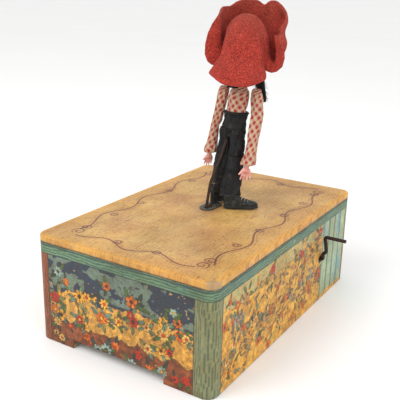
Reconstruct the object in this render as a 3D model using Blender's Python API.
"""Hand-cranked dancing-figure toy: a printed wooden box with a wire crank, and a cloth-dressed
figure held over its top by a bent wire rod. Metres, +Z up. The figure faces +Y, the crank is on
the +X side, and the box stands on z = 0."""

import math

import bmesh
import bpy
from mathutils import Matrix, Vector

MM = 0.001

# ---- driving dimensions, in millimetres, measured from the middle of the box ----
BOX_WIDTH = 148.0            # along X, over the printed paper
BOX_DEPTH = 230.0            # along Y
BOX_HEIGHT = 82.0
CORNER_RADIUS = 8.0          # upright corners
PAPER = 0.3                  # printed paper's thickness
GAP = 0.3                    # between pieces that touch
WALL = 8.0                   # wooden walls
TOP_THICKNESS = 4.4          # wooden top
TOP_EDGE = 5.0               # how far the top's print turns down
TOP_CHAMFER = 1.2
CUT_LEFT, CUT_RIGHT = -42.0, 37.0    # ends of the cut-out between the feet
CUT_HEIGHT = 7.0
BASE_Z, BASE_THICKNESS = 8.0, 3.0    # bottom board, let in above the feet
BLOCK = 12.0                 # corner glue blocks
NAIL_RADIUS, NAIL_HEAD_RADIUS, NAIL_LENGTH = 0.8, 2.0, 14.0

CRANK_Y, CRANK_Z = 54.5, 39.0
CRANK_RADIUS = 1.5           # bent wire
CRANK_ARM = 22.8             # axis to handle
CRANK_LEAN = 15.0            # degrees the resting arm leans towards -Y
HANDLE_END_X = 96.2
SHAFT_END_X = -27.0
SHAFT_CLEARANCE = 0.06       # running fit in the bearing blocks
WALL_HOLE_RADIUS = 2.6
BEARING_HALF = 11.0          # half the bearing blocks' width, and their height over the shaft
BEARING_LENGTH = 10.0
INNER_BEARING_X = (-22.0, -14.0)
COLLAR_RADIUS, COLLAR_LENGTH, COLLAR_PLAY = 4.0, 4.3, 1.0

LEVER_X = -4.0
LEVER_WIDTH, LEVER_THICKNESS = 12.0, 5.0
LEVER_UNDERSIDE = 50.6
LEVER_PIVOT_Y = 90.0
LEVER_PAST_PIVOT, LEVER_BACK_Y = 6.0, -25.0
PIVOT_RADIUS = 1.2
POST_HALF_X, POST_HALF_Y, POST_TOP = 10.0, 9.0, 43.0
EAR_CLEARANCE, EAR_THICKNESS, EAR_HALF_Y, EAR_RISE = 0.4, 1.2, 5.0, 4.0
REST_HALF_X, REST_Y = 9.0, (-26.0, -14.0)
BLOCK_BEVEL = 0.6
CAM_RADIUS, CAM_OFFSET, CAM_THICKNESS = 9.5, 1.8, 7.0

ROD_RADIUS = 1.15
ROD_FOOT = (-4.0, 1.5)
ROD_TIP = (-0.4, 28.0, 139.5)
HOLDER_HALF_X, HOLDER_HALF_Y, HOLDER_HEIGHT = 5.0, 7.0, 11.0
SLOT_X, SLOT_WIDTH = -3.2, 5.4
SLOT_BACK, SLOT_FRONT = -1.6, 14.0
PLATE_MARGIN, PLATE_THICKNESS = 3.4, 0.6

HAT_CENTRE = (2.0, 45.0, 196.0)      # middle of the hat's head opening
HAT_BACK_ANGLE = 286.0               # degrees from +X that the drooping side points to
LEFT_TUCK, RIGHT_TUCK = 52.0, 56.0   # degrees from there to the pinches in the brim
FELT = 2.0

INNER = PAPER + GAP
WALL_TOP = BOX_HEIGHT - TOP_EDGE - GAP
HALF_X, HALF_Y = BOX_WIDTH / 2, BOX_DEPTH / 2
INSIDE_X, INSIDE_Y = HALF_X - INNER - WALL, HALF_Y - INNER - WALL
LEVER_Z = LEVER_UNDERSIDE + LEVER_THICKNESS / 2
BASE_TOP = BASE_Z + BASE_THICKNESS + GAP
CENTRE_SHIFT = (HALF_X - HANDLE_END_X) / 2     # puts the whole toy's middle at x = 0


# ---- helpers ----

def clear_scene():
    for obj in list(bpy.data.objects):
        bpy.data.objects.remove(obj, do_unlink=True)


def material(name, colour, roughness, metallic=0.0):
    mat = bpy.data.materials.new(name)
    mat.use_nodes = True
    shader = mat.node_tree.nodes["Principled BSDF"]
    shader.inputs["Base Color"].default_value = (*colour, 1.0)
    shader.inputs["Roughness"].default_value = roughness
    shader.inputs["Metallic"].default_value = metallic
    return mat


def add_object(name, data, mat, parent):
    obj = bpy.data.objects.new(name, data)
    bpy.context.scene.collection.objects.link(obj)
    obj.parent = parent
    if mat is not None:
        data.materials.append(mat)
    return obj


def empty(name, location, parent=None):
    """A joint's frame: an empty on the joint's axis, given in box millimetres."""
    obj = bpy.data.objects.new(name, None)
    bpy.context.scene.collection.objects.link(obj)
    obj.parent = parent
    base = parent["place"] if parent else (0.0, 0.0, 0.0)
    obj["place"] = location
    obj.location = [(a - b) * MM for a, b in zip(location, base)]
    return obj


def finish(name, bm, mat, parent, smooth=False):
    """Turns a bmesh in box millimetres into an object in metres under its parent empty."""
    bmesh.ops.recalc_face_normals(bm, faces=bm.faces)
    bmesh.ops.translate(bm, verts=bm.verts, vec=-Vector(parent["place"]))
    bmesh.ops.scale(bm, verts=bm.verts, vec=(MM, MM, MM))
    mesh = bpy.data.meshes.new(name)
    bm.to_mesh(mesh)
    bm.free()
    if smooth:
        mesh.shade_smooth()
        mesh.set_sharp_from_angle(angle=math.radians(40))
    return add_object(name, mesh, mat, parent)


def rounded_rectangle(inset, corner_steps=5):
    """The box's plan outline, moved in by inset."""
    radius = CORNER_RADIUS - inset
    points = []
    for sx, sy, start in ((1, 1, 0), (-1, 1, 90), (-1, -1, 180), (1, -1, 270)):
        centre_x = sx * (HALF_X - CORNER_RADIUS)
        centre_y = sy * (HALF_Y - CORNER_RADIUS)
        for step in range(corner_steps + 1):
            angle = math.radians(start + 90 * step / corner_steps)
            points.append((centre_x + radius * math.cos(angle), centre_y + radius * math.sin(angle)))
    return points


def circle(x, y, radius, sides=16):
    turn = [2 * math.pi * k / sides for k in range(sides)]
    return [(x + radius * math.cos(a), y + radius * math.sin(a)) for a in turn]


def slot_outline(x, low_y, high_y, half_width, sides=8):
    """A slot along Y with round ends."""
    points = []
    for centre_y, start in ((high_y - half_width, 0), (low_y + half_width, 180)):
        for step in range(sides + 1):
            angle = math.radians(start + 180 * step / sides)
            points.append((x + half_width * math.cos(angle), centre_y + half_width * math.sin(angle)))
    return points


def loop(bm, outline, z):
    return [bm.verts.new((x, y, z)) for x, y in outline]


def bridge(bm, lower, upper):
    count = len(lower)
    for k in range(count):
        n = (k + 1) % count
        bm.faces.new((lower[k], lower[n], upper[n], upper[k]))


def flat_fill(bm, loops):
    """Fills the flat area between an outer loop and its holes."""
    edges = []
    for verts in loops:
        for a, b in zip(verts, verts[1:] + verts[:1]):
            edges.append(bm.edges.get((a, b)) or bm.edges.new((a, b)))
    bmesh.ops.triangle_fill(bm, use_beauty=True, use_dissolve=False, edges=edges)


def slab(name, outlines, low_z, high_z, mat, parent, turn=None):
    """A flat board: the first outline is its edge and the rest are holes. turn stands it up."""
    bm = bmesh.new()
    lower = [loop(bm, outline, low_z) for outline in outlines]
    upper = [loop(bm, outline, high_z) for outline in outlines]
    for low, high in zip(lower, upper):
        bridge(bm, low, high)
    flat_fill(bm, lower)
    flat_fill(bm, upper)
    if turn is not None:
        bmesh.ops.transform(bm, matrix=turn, verts=bm.verts)
    return finish(name, bm, mat, parent)


def block(name, low, high, mat, parent, bevel=0.0):
    bm = bmesh.new()
    size = [b - a for a, b in zip(low, high)]
    middle = [(a + b) / 2 for a, b in zip(low, high)]
    bmesh.ops.create_cube(bm, size=1.0)
    bmesh.ops.scale(bm, verts=bm.verts, vec=size)
    if bevel:
        bmesh.ops.bevel(bm, geom=bm.edges, offset=bevel, segments=1, affect="EDGES")
    bmesh.ops.translate(bm, verts=bm.verts, vec=middle)
    return finish(name, bm, mat, parent)


ALONG_X = Matrix.Rotation(math.radians(90), 4, "Y")      # local z to +X, local x to -Z
FACING_Y = Matrix(((1, 0, 0, 0), (0, 0, 1, 0), (0, 1, 0, 0), (0, 0, 0, 1)))   # local z to +Y


def rod_between(name, start, end, radius, mat, parent, sides=12):
    """A round bar between two points."""
    start, end = Vector(start), Vector(end)
    bm = bmesh.new()
    bmesh.ops.create_cone(bm, cap_ends=True, segments=sides, radius1=radius, radius2=radius,
                          depth=(end - start).length)
    turn = (end - start).to_track_quat("Z", "Y").to_matrix().to_4x4()
    bmesh.ops.transform(bm, matrix=Matrix.Translation((start + end) / 2) @ turn, verts=bm.verts)
    return finish(name, bm, mat, parent, smooth=True)


def cutter(name, start, end, radius, target, sides=16):
    """A hidden round bar that a Boolean takes out of the target."""
    bar = rod_between(name, start, end, radius, None, target.parent, sides)
    hide(bar)
    subtract(target, bar)
    return bar


def hide(obj):
    obj.hide_render = True
    obj.display_type = "WIRE"


def subtract(target, tool):
    cut = target.modifiers.new("cut", "BOOLEAN")
    cut.operation = "DIFFERENCE"
    cut.solver = "EXACT"
    cut.object = tool


def rounded_path(points, radius, steps=5):
    """The points joined by straight runs, with each bend turned through an arc."""
    points = [Vector(p) for p in points]
    path = [points[0]]
    for before, corner, after in zip(points, points[1:], points[2:]):
        back = (before - corner).normalized()
        ahead = (after - corner).normalized()
        half = back.angle(ahead) / 2
        reach = radius / math.tan(half)
        centre = corner + (back + ahead).normalized() * (radius / math.sin(half))
        first = (corner + back * reach - centre).normalized()
        last = (corner + ahead * reach - centre).normalized()
        for step in range(steps + 1):
            path.append(centre + first.slerp(last, step / steps, first) * radius)
    path.append(points[-1])
    return path


def wire(name, path, radius, mat, parent):
    """Round wire along a path: a bevelled curve with filled ends."""
    data = bpy.data.curves.new(name, "CURVE")
    data.dimensions = "3D"
    data.bevel_depth = radius * MM
    data.bevel_resolution = 2
    data.use_fill_caps = True
    spline = data.splines.new("POLY")
    spline.points.add(len(path) - 1)
    for point, place in zip(spline.points, path):
        local = (place - Vector(parent["place"])) * MM
        point.co = (*local, 1.0)
    return add_object(name, data, mat, parent)


def stack(name, rings, mat, parent, sides=14):
    """A closed form through level oval rings (x, y, z, half width, half depth), top to bottom."""
    bm = bmesh.new()
    loops = []
    for x, y, z, half_x, half_y in rings:
        outline = [(x + half_x * cx, y + half_y * cy) for cx, cy in circle(0, 0, 1, sides)]
        loops.append(loop(bm, outline, z))
    for upper, lower in zip(loops, loops[1:]):
        bridge(bm, lower, upper)
    bm.faces.new(loops[0])
    bm.faces.new(loops[-1])
    return finish(name, bm, mat, parent, smooth=True)


# ---- materials ----

def make_materials():
    return {
        "print": material("printed_paper", (0.62, 0.44, 0.18), 0.55),
        "board": material("wood_board", (0.42, 0.33, 0.22), 0.8),
        "block": material("wood_block", (0.55, 0.40, 0.24), 0.75),
        "rust": material("rusty_wire", (0.09, 0.05, 0.035), 0.75, 0.5),
        "steel": material("bright_steel", (0.45, 0.44, 0.42), 0.4, 0.9),
        "plate": material("slot_plate_metal", (0.09, 0.095, 0.085), 0.6, 0.4),
        "felt": material("red_felt", (0.52, 0.06, 0.04), 0.95),
        "gingham": material("gingham_cotton", (0.72, 0.48, 0.38), 0.9),
        "trousers": material("black_leathercloth", (0.03, 0.03, 0.035), 0.5),
        "boots": material("boot_rubber", (0.06, 0.065, 0.06), 0.55),
        "skin": material("moulded_flesh", (0.78, 0.42, 0.36), 0.5),
        "hair": material("black_mohair", (0.015, 0.015, 0.018), 0.7),
    }


# ---- box ----

def side_panel(name, side, mat, parent):
    """A long side wall, its two outer upright edges rounded."""
    outline = [(x, y) for x, y in rounded_rectangle(INNER) if x > 0]
    outline += [(INSIDE_X, HALF_Y - INNER), (INSIDE_X, INNER - HALF_Y)]
    outline.sort(key=lambda p: math.atan2(p[1], p[0] - INSIDE_X - WALL / 4))
    outline = [(side * x, y) for x, y in outline]
    return slab(name, [outline], 0.0, WALL_TOP, mat, parent)


def end_panel(name, side, mat, parent):
    """A short wall between the side walls, cut away along its foot to leave two feet."""
    half = INSIDE_X - GAP
    outline = [(-half, 0), (CUT_LEFT, 0), (CUT_LEFT, CUT_HEIGHT), (CUT_RIGHT, CUT_HEIGHT),
               (CUT_RIGHT, 0), (half, 0), (half, WALL_TOP), (-half, WALL_TOP)]
    near, far = sorted((side * INSIDE_Y, side * (HALF_Y - INNER)))
    return slab(name, [outline], near, far, mat, parent, turn=FACING_Y)


def walls(mats, root):
    end_panel("rear_panel", -1, mats["board"], root)
    end_panel("front_panel", 1, mats["board"], root)
    side_panel("left_panel", -1, mats["board"], root)
    right = side_panel("right_panel", 1, mats["board"], root)
    cutter("right_panel_hole_cutter", (INSIDE_X - 2, CRANK_Y, CRANK_Z), (HALF_X + 2, CRANK_Y, CRANK_Z),
           WALL_HOLE_RADIUS, right)


def printed_wrap(mats, root):
    """The paper band round all four walls, cut away with the feet and holed for the crank."""
    bm = bmesh.new()
    low, high = GAP, WALL_TOP
    outer = [loop(bm, rounded_rectangle(0), z) for z in (low, high)]
    inner = [loop(bm, rounded_rectangle(PAPER), z) for z in (low, high)]
    bridge(bm, outer[0], outer[1])
    bridge(bm, inner[1], inner[0])
    bridge(bm, inner[0], outer[0])
    bridge(bm, outer[1], inner[1])
    band = finish("wrap_print", bm, mats["print"], root)
    feet = block("wrap_feet_cutter", (CUT_LEFT, -HALF_Y - 5, -5), (CUT_RIGHT, HALF_Y + 5, CUT_HEIGHT),
                 None, root)
    hide(feet)
    subtract(band, feet)
    cutter("wrap_hole_cutter", (HALF_X - 3, CRANK_Y, CRANK_Z), (HALF_X + 3, CRANK_Y, CRANK_Z),
           WALL_HOLE_RADIUS, band)


def top_board(mats, root):
    """The wooden top, its upper edge eased, with the slot for the rod."""
    low = BOX_HEIGHT - TOP_EDGE
    high = low + TOP_THICKNESS
    bm = bmesh.new()
    levels = ((INNER, low), (INNER, high - TOP_CHAMFER), (INNER + TOP_CHAMFER, high))
    rims = [loop(bm, rounded_rectangle(inset), z) for inset, z in levels]
    slot = slot_outline(SLOT_X, SLOT_BACK, SLOT_FRONT, SLOT_WIDTH / 2)
    holes = [loop(bm, slot, low), loop(bm, slot, high)]
    for lower, upper in zip(rims, rims[1:]):
        bridge(bm, lower, upper)
    bridge(bm, holes[1], holes[0])
    flat_fill(bm, [rims[0], holes[0]])
    flat_fill(bm, [rims[-1], holes[1]])
    finish("top_board", bm, mats["board"], root)


def top_print(mats, root):
    """The printed paper on the top, turned down over the board's edge."""
    bm = bmesh.new()
    low, high = BOX_HEIGHT - TOP_EDGE, BOX_HEIGHT
    outer = [loop(bm, rounded_rectangle(inset), z)
             for inset, z in ((0, low), (0, high - 1.4), (0.4, high - 0.4), (1.4, high))]
    inner = [loop(bm, rounded_rectangle(inset), z)
             for inset, z in ((PAPER, low), (PAPER, high - 1.6), (0.7, high - 0.75), (1.6, high - PAPER))]
    slot = slot_outline(SLOT_X, SLOT_BACK, SLOT_FRONT, SLOT_WIDTH / 2)
    holes = [loop(bm, slot, high - PAPER), loop(bm, slot, high)]
    for lower, upper in zip(outer, outer[1:]):
        bridge(bm, lower, upper)
    for lower, upper in zip(inner, inner[1:]):
        bridge(bm, upper, lower)
    bridge(bm, inner[0], outer[0])
    bridge(bm, holes[1], holes[0])
    flat_fill(bm, [inner[-1], holes[0]])
    flat_fill(bm, [outer[-1], holes[1]])
    finish("top_print", bm, mats["print"], root)


def slot_plate(mats, root):
    low = BOX_HEIGHT + GAP
    half = SLOT_WIDTH / 2
    edge = slot_outline(SLOT_X, SLOT_BACK - PLATE_MARGIN, SLOT_FRONT + PLATE_MARGIN, half + PLATE_MARGIN)
    hole = slot_outline(SLOT_X, SLOT_BACK, SLOT_FRONT, half)
    slab("slot_plate", [edge, hole], low, low + PLATE_THICKNESS, mats["plate"], root)


def base(mats, root):
    """Bottom board, corner glue blocks and the nails that hold the board to them."""
    half_x, half_y = INSIDE_X - GAP, INSIDE_Y - GAP
    nail_x, nail_y = half_x - BLOCK / 2, half_y - BLOCK / 2
    places = [(sx * nail_x, sy * nail_y) for sx in (-1, 1) for sy in (-1, 1)]
    outline = [(-half_x, -half_y), (half_x, -half_y), (half_x, half_y), (-half_x, half_y)]
    holes = [circle(x, y, NAIL_RADIUS + 0.1, 10) for x, y in places]
    slab("bottom_board", [outline] + holes, BASE_Z, BASE_Z + BASE_THICKNESS, mats["board"], root)
    for number, (x, y) in enumerate(places, 1):
        corner_block(f"corner_block_{number}", x, y, mats, root)
        nail(f"bottom_nail_{number}", x, y, mats, root)


def corner_block(name, x, y, mats, root):
    half = BLOCK / 2
    outline = [(x - half, y - half), (x + half, y - half), (x + half, y + half), (x - half, y + half)]
    hole = circle(x, y, NAIL_RADIUS + 0.1, 10)
    slab(name, [outline, hole], BASE_TOP, WALL_TOP - GAP, mats["block"], root)


def nail(name, x, y, mats, root):
    """Head and shank as one turned piece, driven up from below."""
    head = BASE_Z - GAP
    rings = [(x, y, head + NAIL_LENGTH, 0.2, 0.2), (x, y, head + NAIL_LENGTH - 2, NAIL_RADIUS, NAIL_RADIUS),
             (x, y, head, NAIL_RADIUS, NAIL_RADIUS), (x, y, head, NAIL_HEAD_RADIUS, NAIL_HEAD_RADIUS),
             (x, y, head - 0.8, NAIL_HEAD_RADIUS, NAIL_HEAD_RADIUS)]
    stack(name, rings, mats["steel"], root, sides=10)


# ---- crank and bearings ----

def bearing(name, near_x, far_x, low_z, mats, root):
    """A wooden block bored for the crank shaft."""
    high_z, near_y, far_y = CRANK_Z + BEARING_HALF, CRANK_Y - BEARING_HALF, CRANK_Y + BEARING_HALF
    outline = [(-high_z, near_y), (-low_z, near_y), (-low_z, far_y), (-high_z, far_y)]
    hole = circle(-CRANK_Z, CRANK_Y, CRANK_RADIUS + SHAFT_CLEARANCE, 24)
    slab(name, [outline, hole], near_x, far_x, mats["block"], root, turn=ALONG_X)


def crank(mats, root):
    """One length of wire: shaft, arm with a small outward jog, and handle."""
    outer_end = INSIDE_X - GAP
    outer_start = outer_end - BEARING_LENGTH
    bearing("bearing_block_outer", outer_start, outer_end, CRANK_Z - BEARING_HALF, mats, root)
    bearing("bearing_block_inner", *INNER_BEARING_X, BASE_TOP, mats, root)
    axle = empty("crank_axis", (HALF_X, CRANK_Y, CRANK_Z), root)
    lean = math.radians(CRANK_LEAN)
    outward = Vector((0, -math.sin(lean), math.cos(lean)))
    centre = Vector((0, CRANK_Y, CRANK_Z))
    corners = ((SHAFT_END_X, 0), (76.6, 0), (76.6, 5.2), (79.6, 8.6), (79.0, CRANK_ARM),
               (HANDLE_END_X, CRANK_ARM))
    places = [centre + Vector((x, 0, 0)) + outward * reach for x, reach in corners]
    wire("crank_wire", rounded_path(places, 1.9, 4), CRANK_RADIUS, mats["rust"], axle)
    cam(mats, axle)
    collar("shaft_collar_outer", outer_start - COLLAR_PLAY - COLLAR_LENGTH, mats, axle)
    collar("shaft_collar_inner", INNER_BEARING_X[0] - GAP - COLLAR_LENGTH, mats, axle)


def cam(mats, axle):
    """A wooden disc set off-centre on the shaft, its high side up at rest."""
    edge = circle(-(CRANK_Z + CAM_OFFSET), CRANK_Y, CAM_RADIUS, 28)
    hole = circle(-CRANK_Z, CRANK_Y, CRANK_RADIUS + 0.03, 24)
    low = LEVER_X - CAM_THICKNESS / 2
    slab("cam", [edge, hole], low, low + CAM_THICKNESS, mats["block"], axle, turn=ALONG_X)


def collar(name, low_x, mats, axle):
    edge = circle(-CRANK_Z, CRANK_Y, COLLAR_RADIUS, 18)
    hole = circle(-CRANK_Z, CRANK_Y, CRANK_RADIUS + 0.03, 24)
    slab(name, [edge, hole], low_x, low_x + COLLAR_LENGTH, mats["steel"], axle, turn=ALONG_X)


# ---- lever ----

def lever_mount(mats, root):
    """Post, bracket and pin at the lever's front end, and the block its back end drops onto."""
    block("lever_post", (LEVER_X - POST_HALF_X, LEVER_PIVOT_Y - POST_HALF_Y, BASE_TOP),
          (LEVER_X + POST_HALF_X, LEVER_PIVOT_Y + POST_HALF_Y, POST_TOP), mats["block"], root, BLOCK_BEVEL)
    inner = LEVER_WIDTH / 2 + EAR_CLEARANCE
    outer = inner + EAR_THICKNESS
    low, high = POST_TOP + GAP, LEVER_Z + EAR_RISE
    floor = low + EAR_THICKNESS
    outline = [(-outer, low), (outer, low), (outer, high), (inner, high),
               (inner, floor), (-inner, floor), (-inner, high), (-outer, high)]
    outline = [(LEVER_X + x, z) for x, z in outline]
    fork = slab("lever_bracket", [outline], LEVER_PIVOT_Y - EAR_HALF_Y, LEVER_PIVOT_Y + EAR_HALF_Y,
                mats["steel"], root, turn=FACING_Y)
    pin_ends = [(LEVER_X + side * POST_HALF_X, LEVER_PIVOT_Y, LEVER_Z) for side in (-1, 1)]
    bore_ends = [(LEVER_X + side * (POST_HALF_X + 2), LEVER_PIVOT_Y, LEVER_Z) for side in (-1, 1)]
    cutter("lever_bracket_hole_cutter", *bore_ends, PIVOT_RADIUS + 0.03, fork, 20)
    rod_between("lever_pin", *pin_ends, PIVOT_RADIUS, mats["steel"], root, 16)
    block("lever_rest", (LEVER_X - REST_HALF_X, REST_Y[0], BASE_TOP),
          (LEVER_X + REST_HALF_X, REST_Y[1], LEVER_UNDERSIDE - GAP), mats["block"], root, BLOCK_BEVEL)


def lever(mats, arm):
    """The wooden lever that the cam lifts, and the block that grips the rod's foot."""
    half = LEVER_WIDTH / 2
    top, front_y = LEVER_UNDERSIDE + LEVER_THICKNESS, LEVER_PIVOT_Y + LEVER_PAST_PIVOT
    outline = [(-top, LEVER_BACK_Y), (-LEVER_UNDERSIDE, LEVER_BACK_Y),
               (-LEVER_UNDERSIDE, front_y), (-top, front_y)]
    hole = circle(-LEVER_Z, LEVER_PIVOT_Y, PIVOT_RADIUS + 0.06, 20)
    slab("dance_lever", [outline, hole], LEVER_X - half, LEVER_X + half, mats["block"], arm, turn=ALONG_X)
    x, y = ROD_FOOT
    low = top + GAP
    corners = ((-1, -1), (1, -1), (1, 1), (-1, 1))
    grip = [(x + sx * HOLDER_HALF_X, y + sy * HOLDER_HALF_Y) for sx, sy in corners]
    bore = circle(x, y, ROD_RADIUS + 0.04, 16)
    slab("rod_holder", [grip, bore], low, low + HOLDER_HEIGHT, mats["block"], arm)


def figure_rod(mats, arm):
    """Up through the slot, then leaning forward into the back of the figure's seat."""
    x, y = ROD_FOOT
    foot = LEVER_UNDERSIDE + LEVER_THICKNESS + GAP
    corners = [(x, y, foot), (x, y, 84.0), (x - 0.2, 7.0, 102.0), (x + 2.2, 17.3, 120.0), ROD_TIP]
    wire("figure_rod", rounded_path(corners, 14.0, 3), ROD_RADIUS, mats["rust"], arm)


# ---- figure ----

def torso(mats, arm):
    shirt = [(1.3, 40.6, 175.6, 4.6, 4.0), (1.3, 40.2, 174.4, 6.6, 5.2), (1.4, 39.4, 171, 9.4, 6.6),
             (1.5, 38.0, 166, 10.2, 7.2), (1.5, 36.2, 160, 10.0, 7.2), (1.4, 34.4, 154.2, 9.4, 6.8)]
    stack("shirt", shirt, mats["gingham"], arm, 16)
    seat = [(1.4, 34.2, 153.8, 9.8, 7.0), (1.3, 32.6, 148, 10.4, 7.6), (1.2, 30.8, 142, 11.0, 8.0),
            (1.1, 29.6, 138, 10.6, 7.6), (1.1, 29.2, 136.4, 8.6, 5.8)]
    trousers = stack("trouser_seat", seat, mats["trousers"], arm, 16)
    before = Vector((-1.6, 17.5, 120.0))
    tip = Vector(ROD_TIP)
    cutter("seat_rod_cutter", before, tip + (tip - before).normalized() * 0.6, ROD_RADIUS + 0.35, trousers)


def head(mats, arm):
    """Moulded head and neck, black hair at the nape and a beard that juts from the chin."""
    rings = [(2.0, 45.0, 198.6, 4.0, 4.0), (2.0, 45.0, 196.4, 8.0, 8.2), (2.0, 45.0, 191, 10.4, 10.8),
             (2.2, 45.4, 185, 10.4, 10.6), (2.6, 46.2, 180, 8.6, 8.8), (2.6, 45.4, 177.4, 5.4, 5.6),
             (1.6, 41.6, 175.9, 4.0, 3.6)]
    stack("head", rings, mats["skin"], arm, 18)
    nape = [(-1.2, 33.6, 185, 4.6, 1.2), (-1.4, 32.4, 181, 6.4, 1.6), (-1.2, 31.6, 177, 6.4, 1.6),
            (-0.8, 31.2, 174, 4.8, 1.0)]
    stack("hair", nape, mats["hair"], arm, 12)
    strands = [(6.6, 57.2, 184.6, 4.4, 0.9), (7.4, 58.6, 179, 4.8, 2.2), (9.0, 60.4, 171, 3.6, 2.4),
               (10.8, 61.8, 164.5, 2.6, 1.8), (11.8, 62.2, 160.0, 1.2, 1.0)]
    stack("beard", strands, mats["hair"], arm, 12)


def ease(t):
    t = min(max(t, 0.0), 1.0)
    return t * t * (3 - 2 * t)


def hat_section(off_back, tuck_at):
    """The felt's mid-line at one angle from the drooping side, as (distance out, height) points.
    The brim fans out and hangs at the back, is pinched in at tuck_at, and turns up high beyond it."""
    fan = ease(off_back / 42)
    turned = ease((off_back - tuck_at + 9) / 20)
    front = ease((off_back - 74) / 88)
    pinch = math.exp(-((off_back - tuck_at) / 9) ** 2)
    flare = 1 - turned
    crown = [(0.9, 33.4), (6.0, 32.6), (11.4, 29.4), (14.6, 23.0), (15.9 + flare, 14.0),
             (16.4 + 3.2 * flare, 7.0), (16.6 + 5.2 * flare, 2.0)]
    hanging, hang = 22.0 - 1.5 * fan, -62.0 + 30.0 * fan
    standing, rise = 34.0 + 24.0 * front, 70.0 + 17.0 * front
    length = hanging + (standing - hanging) * turned - 17.0 * pinch
    final = hang + (rise - hang) * turned
    steps = 8
    points = list(crown)
    out, height = crown[-1]
    for step in range(steps):
        bend = ease((step + 0.7) / 3.0)
        angle = math.radians(-75.0 + (final + 75.0) * bend)
        stride = length / steps
        out += stride * math.cos(angle)
        height += stride * math.sin(angle)
        points.append((out, height))
    return points


def offset_section(points, distance):
    """The section moved sideways by distance."""
    moved = []
    for k, (out, height) in enumerate(points):
        a = Vector(points[max(k - 1, 0)])
        b = Vector(points[min(k + 1, len(points) - 1)])
        along = (b - a).normalized()
        moved.append((out - along.y * distance, height + along.x * distance))
    return moved


def hat(mats, arm, sides=36):
    """A felt shell: outer skin down to the brim's edge, and back up inside to the crown."""
    bm = bmesh.new()
    columns = []
    for k in range(sides):
        turn = 360.0 * k / sides
        on_right = turn < 180.0
        section = hat_section(min(turn, 360.0 - turn), RIGHT_TUCK if on_right else LEFT_TUCK)
        outer = offset_section(section, FELT / 2)
        inner = offset_section(section, -FELT / 2)
        angle = math.radians(HAT_BACK_ANGLE + turn)
        direction = Vector((math.cos(angle), math.sin(angle), 0))
        column = [Vector(HAT_CENTRE) + direction * max(out, 0.4) + Vector((0, 0, height))
                  for out, height in outer + inner[::-1]]
        columns.append([bm.verts.new(place) for place in column])
    for left, right in zip(columns, columns[1:] + columns[:1]):
        for k in range(len(left) - 1):
            bm.faces.new((left[k], left[k + 1], right[k + 1], right[k]))
    bm.faces.new([column[0] for column in columns])
    bm.faces.new([column[-1] for column in columns])
    finish("hat", bm, mats["felt"], arm, smooth=True)


def arm_pieces(side, sleeve, hand, shoulder, mats, arm):
    """A stuffed sleeve sewn to the shoulder, with a moulded hand in its cuff."""
    joint = empty(f"shoulder_{side}_axis", shoulder, arm)
    stack(f"sleeve_{side}", sleeve, mats["gingham"], joint, 12)
    stack(f"hand_{side}", hand, mats["skin"], joint, 12)


def boot(name, heel, toe, sole_z, mats, joint):
    """Lofted from the sole up to the ankle; heel and toe are (x, y, radius)."""
    heel_x, heel_y, heel_r = heel
    toe_x, toe_y, toe_r = toe
    levels = ((0.0, 0.94, 1.0, 0.94), (1.2, 1.0, 1.0, 1.0), (4.4, 0.98, 0.97, 0.9), (6.4, 0.94, 0.62, 0.84),
              (9.4, 0.9, 0.24, 1.0))
    bm = bmesh.new()
    heading = math.atan2(toe_y - heel_y, toe_x - heel_x)
    loops = []
    for rise, heel_scale, reach, toe_scale in levels:
        outline = []
        end_x = heel_x + (toe_x - heel_x) * reach
        end_y = heel_y + (toe_y - heel_y) * reach
        for centre_x, centre_y, radius, start in ((end_x, end_y, toe_r * toe_scale, -90),
                                                  (heel_x, heel_y, heel_r * heel_scale, 90)):
            for step in range(8):
                angle = heading + math.radians(start + 180 * (step + 0.5) / 8)
                outline.append((centre_x + radius * math.cos(angle), centre_y + radius * math.sin(angle)))
        loops.append(loop(bm, outline, sole_z + rise))
    for lower, upper in zip(loops, loops[1:]):
        bridge(bm, lower, upper)
    bm.faces.new(loops[0])
    bm.faces.new(loops[-1])
    finish(name, bm, mats["boots"], joint, smooth=True)


def leg(side, hip, knee, thigh, shin, boot_shape, mats, arm):
    hip_joint = empty(f"hip_{side}_axis", hip, arm)
    stack(f"thigh_{side}", thigh, mats["trousers"], hip_joint, 12)
    knee_joint = empty(f"knee_{side}_axis", knee, hip_joint)
    stack(f"shin_{side}", shin, mats["trousers"], knee_joint, 12)
    boot(f"boot_{side}", *boot_shape, mats, knee_joint)


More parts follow.
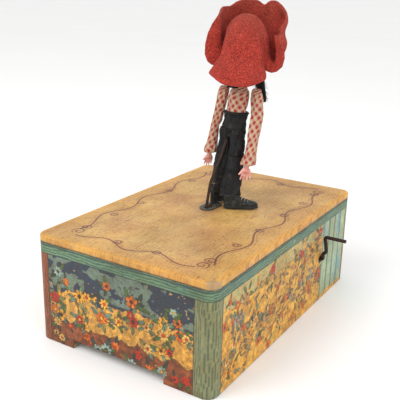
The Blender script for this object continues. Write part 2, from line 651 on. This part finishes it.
def limbs(mats, arm):
    left_sleeve = [(-13.0, 40.0, 173.4, 2.4, 2.6), (-13.2, 39.8, 171.6, 4.4, 4.6),
                   (-13.8, 38.6, 165, 4.9, 5.2), (-14.6, 35.0, 152, 4.8, 5.2),
                   (-15.6, 29.6, 137, 4.9, 5.4), (-16.2, 26.0, 126, 5.1, 5.6),
                   (-16.4, 25.0, 121.6, 4.6, 5.0)]
    left_hand = [(-16.4, 24.8, 121.2, 3.3, 3.0), (-16.5, 24.6, 117, 3.5, 2.8), (-16.5, 24.6, 112, 4.3, 2.7),
                 (-16.4, 25.0, 107.4, 2.4, 1.6)]
    arm_pieces("left", left_sleeve, left_hand, (-13.4, 39.5, 170.0), mats, arm)
    right_sleeve = [(16.6, 38.6, 174.0, 2.6, 2.8), (16.9, 38.8, 172.0, 4.6, 4.8), (17.6, 39.6, 165, 5.2, 5.4),
                    (19.0, 38.6, 154, 5.2, 5.6), (20.2, 31.6, 140, 5.2, 5.9), (21.2, 24.4, 127, 5.4, 6.4),
                    (21.8, 19.6, 118.2, 5.2, 6.2)]
    right_hand = [(21.8, 18.6, 117.8, 3.5, 3.3), (21.6, 17.0, 113.4, 4.3, 3.0), (21.6, 16.0, 108.4, 4.3, 2.8),
                  (21.8, 16.2, 103.6, 2.6, 1.6)]
    arm_pieces("right", right_sleeve, right_hand, (16.9, 38.5, 170.5), mats, arm)

    left_thigh = [(-5.6, 30.2, 132.6, 2.4, 3.0), (-5.6, 29.8, 131, 4.6, 5.8), (-5.6, 26.6, 123, 4.7, 6.2),
                  (-5.7, 22.8, 118, 4.7, 5.8), (-5.7, 21.8, 116.5, 3.4, 4.4)]
    left_shin = [(-5.6, 20.6, 110.6, 3.2, 4.0), (-5.5, 20.4, 109, 4.7, 5.6), (-5.2, 20.0, 102, 4.7, 5.7),
                 (-4.8, 19.8, 94.6, 5.0, 6.0), (-4.8, 19.8, 93.5, 4.8, 5.8)]
    leg("left", (-5.6, 30.4, 135.0), (-5.6, 15.5, 113.8), left_thigh, left_shin,
        ((-5.5, 16.5, 4.2), (0.8, 34.0, 4.2), 83.7), mats, arm)
    right_thigh = [(8.6, 27.6, 132.6, 2.4, 3.0), (8.7, 27.2, 131, 4.8, 6.0), (9.2, 24.2, 123, 5.1, 6.3),
                   (9.8, 21.4, 118, 5.0, 6.0), (10.0, 20.8, 116.5, 3.4, 4.4)]
    right_shin = [(10.3, 19.2, 110.6, 3.2, 4.0), (10.4, 19.0, 109, 5.0, 5.8), (11.0, 17.2, 102, 5.2, 5.9),
                  (11.8, 15.0, 93.8, 5.5, 6.1), (11.9, 14.8, 92.8, 5.3, 5.9)]
    leg("right", (8.6, 27.8, 135.0), (10.2, 19.8, 113.8), right_thigh, right_shin,
        ((11.4, 11.1, 4.8), (26.4, 21.5, 4.6), 83.2), mats, arm)


def build():
    clear_scene()
    mats = make_materials()
    root = empty("toy", (0.0, 0.0, 0.0))
    root.location.x = CENTRE_SHIFT * MM
    walls(mats, root)
    printed_wrap(mats, root)
    top_board(mats, root)
    top_print(mats, root)
    slot_plate(mats, root)
    base(mats, root)
    crank(mats, root)
    lever_mount(mats, root)
    arm = empty("lever_axis", (LEVER_X, LEVER_PIVOT_Y, LEVER_Z), root)
    lever(mats, arm)
    figure_rod(mats, arm)
    torso(mats, arm)
    head(mats, arm)
    hat(mats, arm)
    limbs(mats, arm)
    bpy.context.view_layer.update()


build()
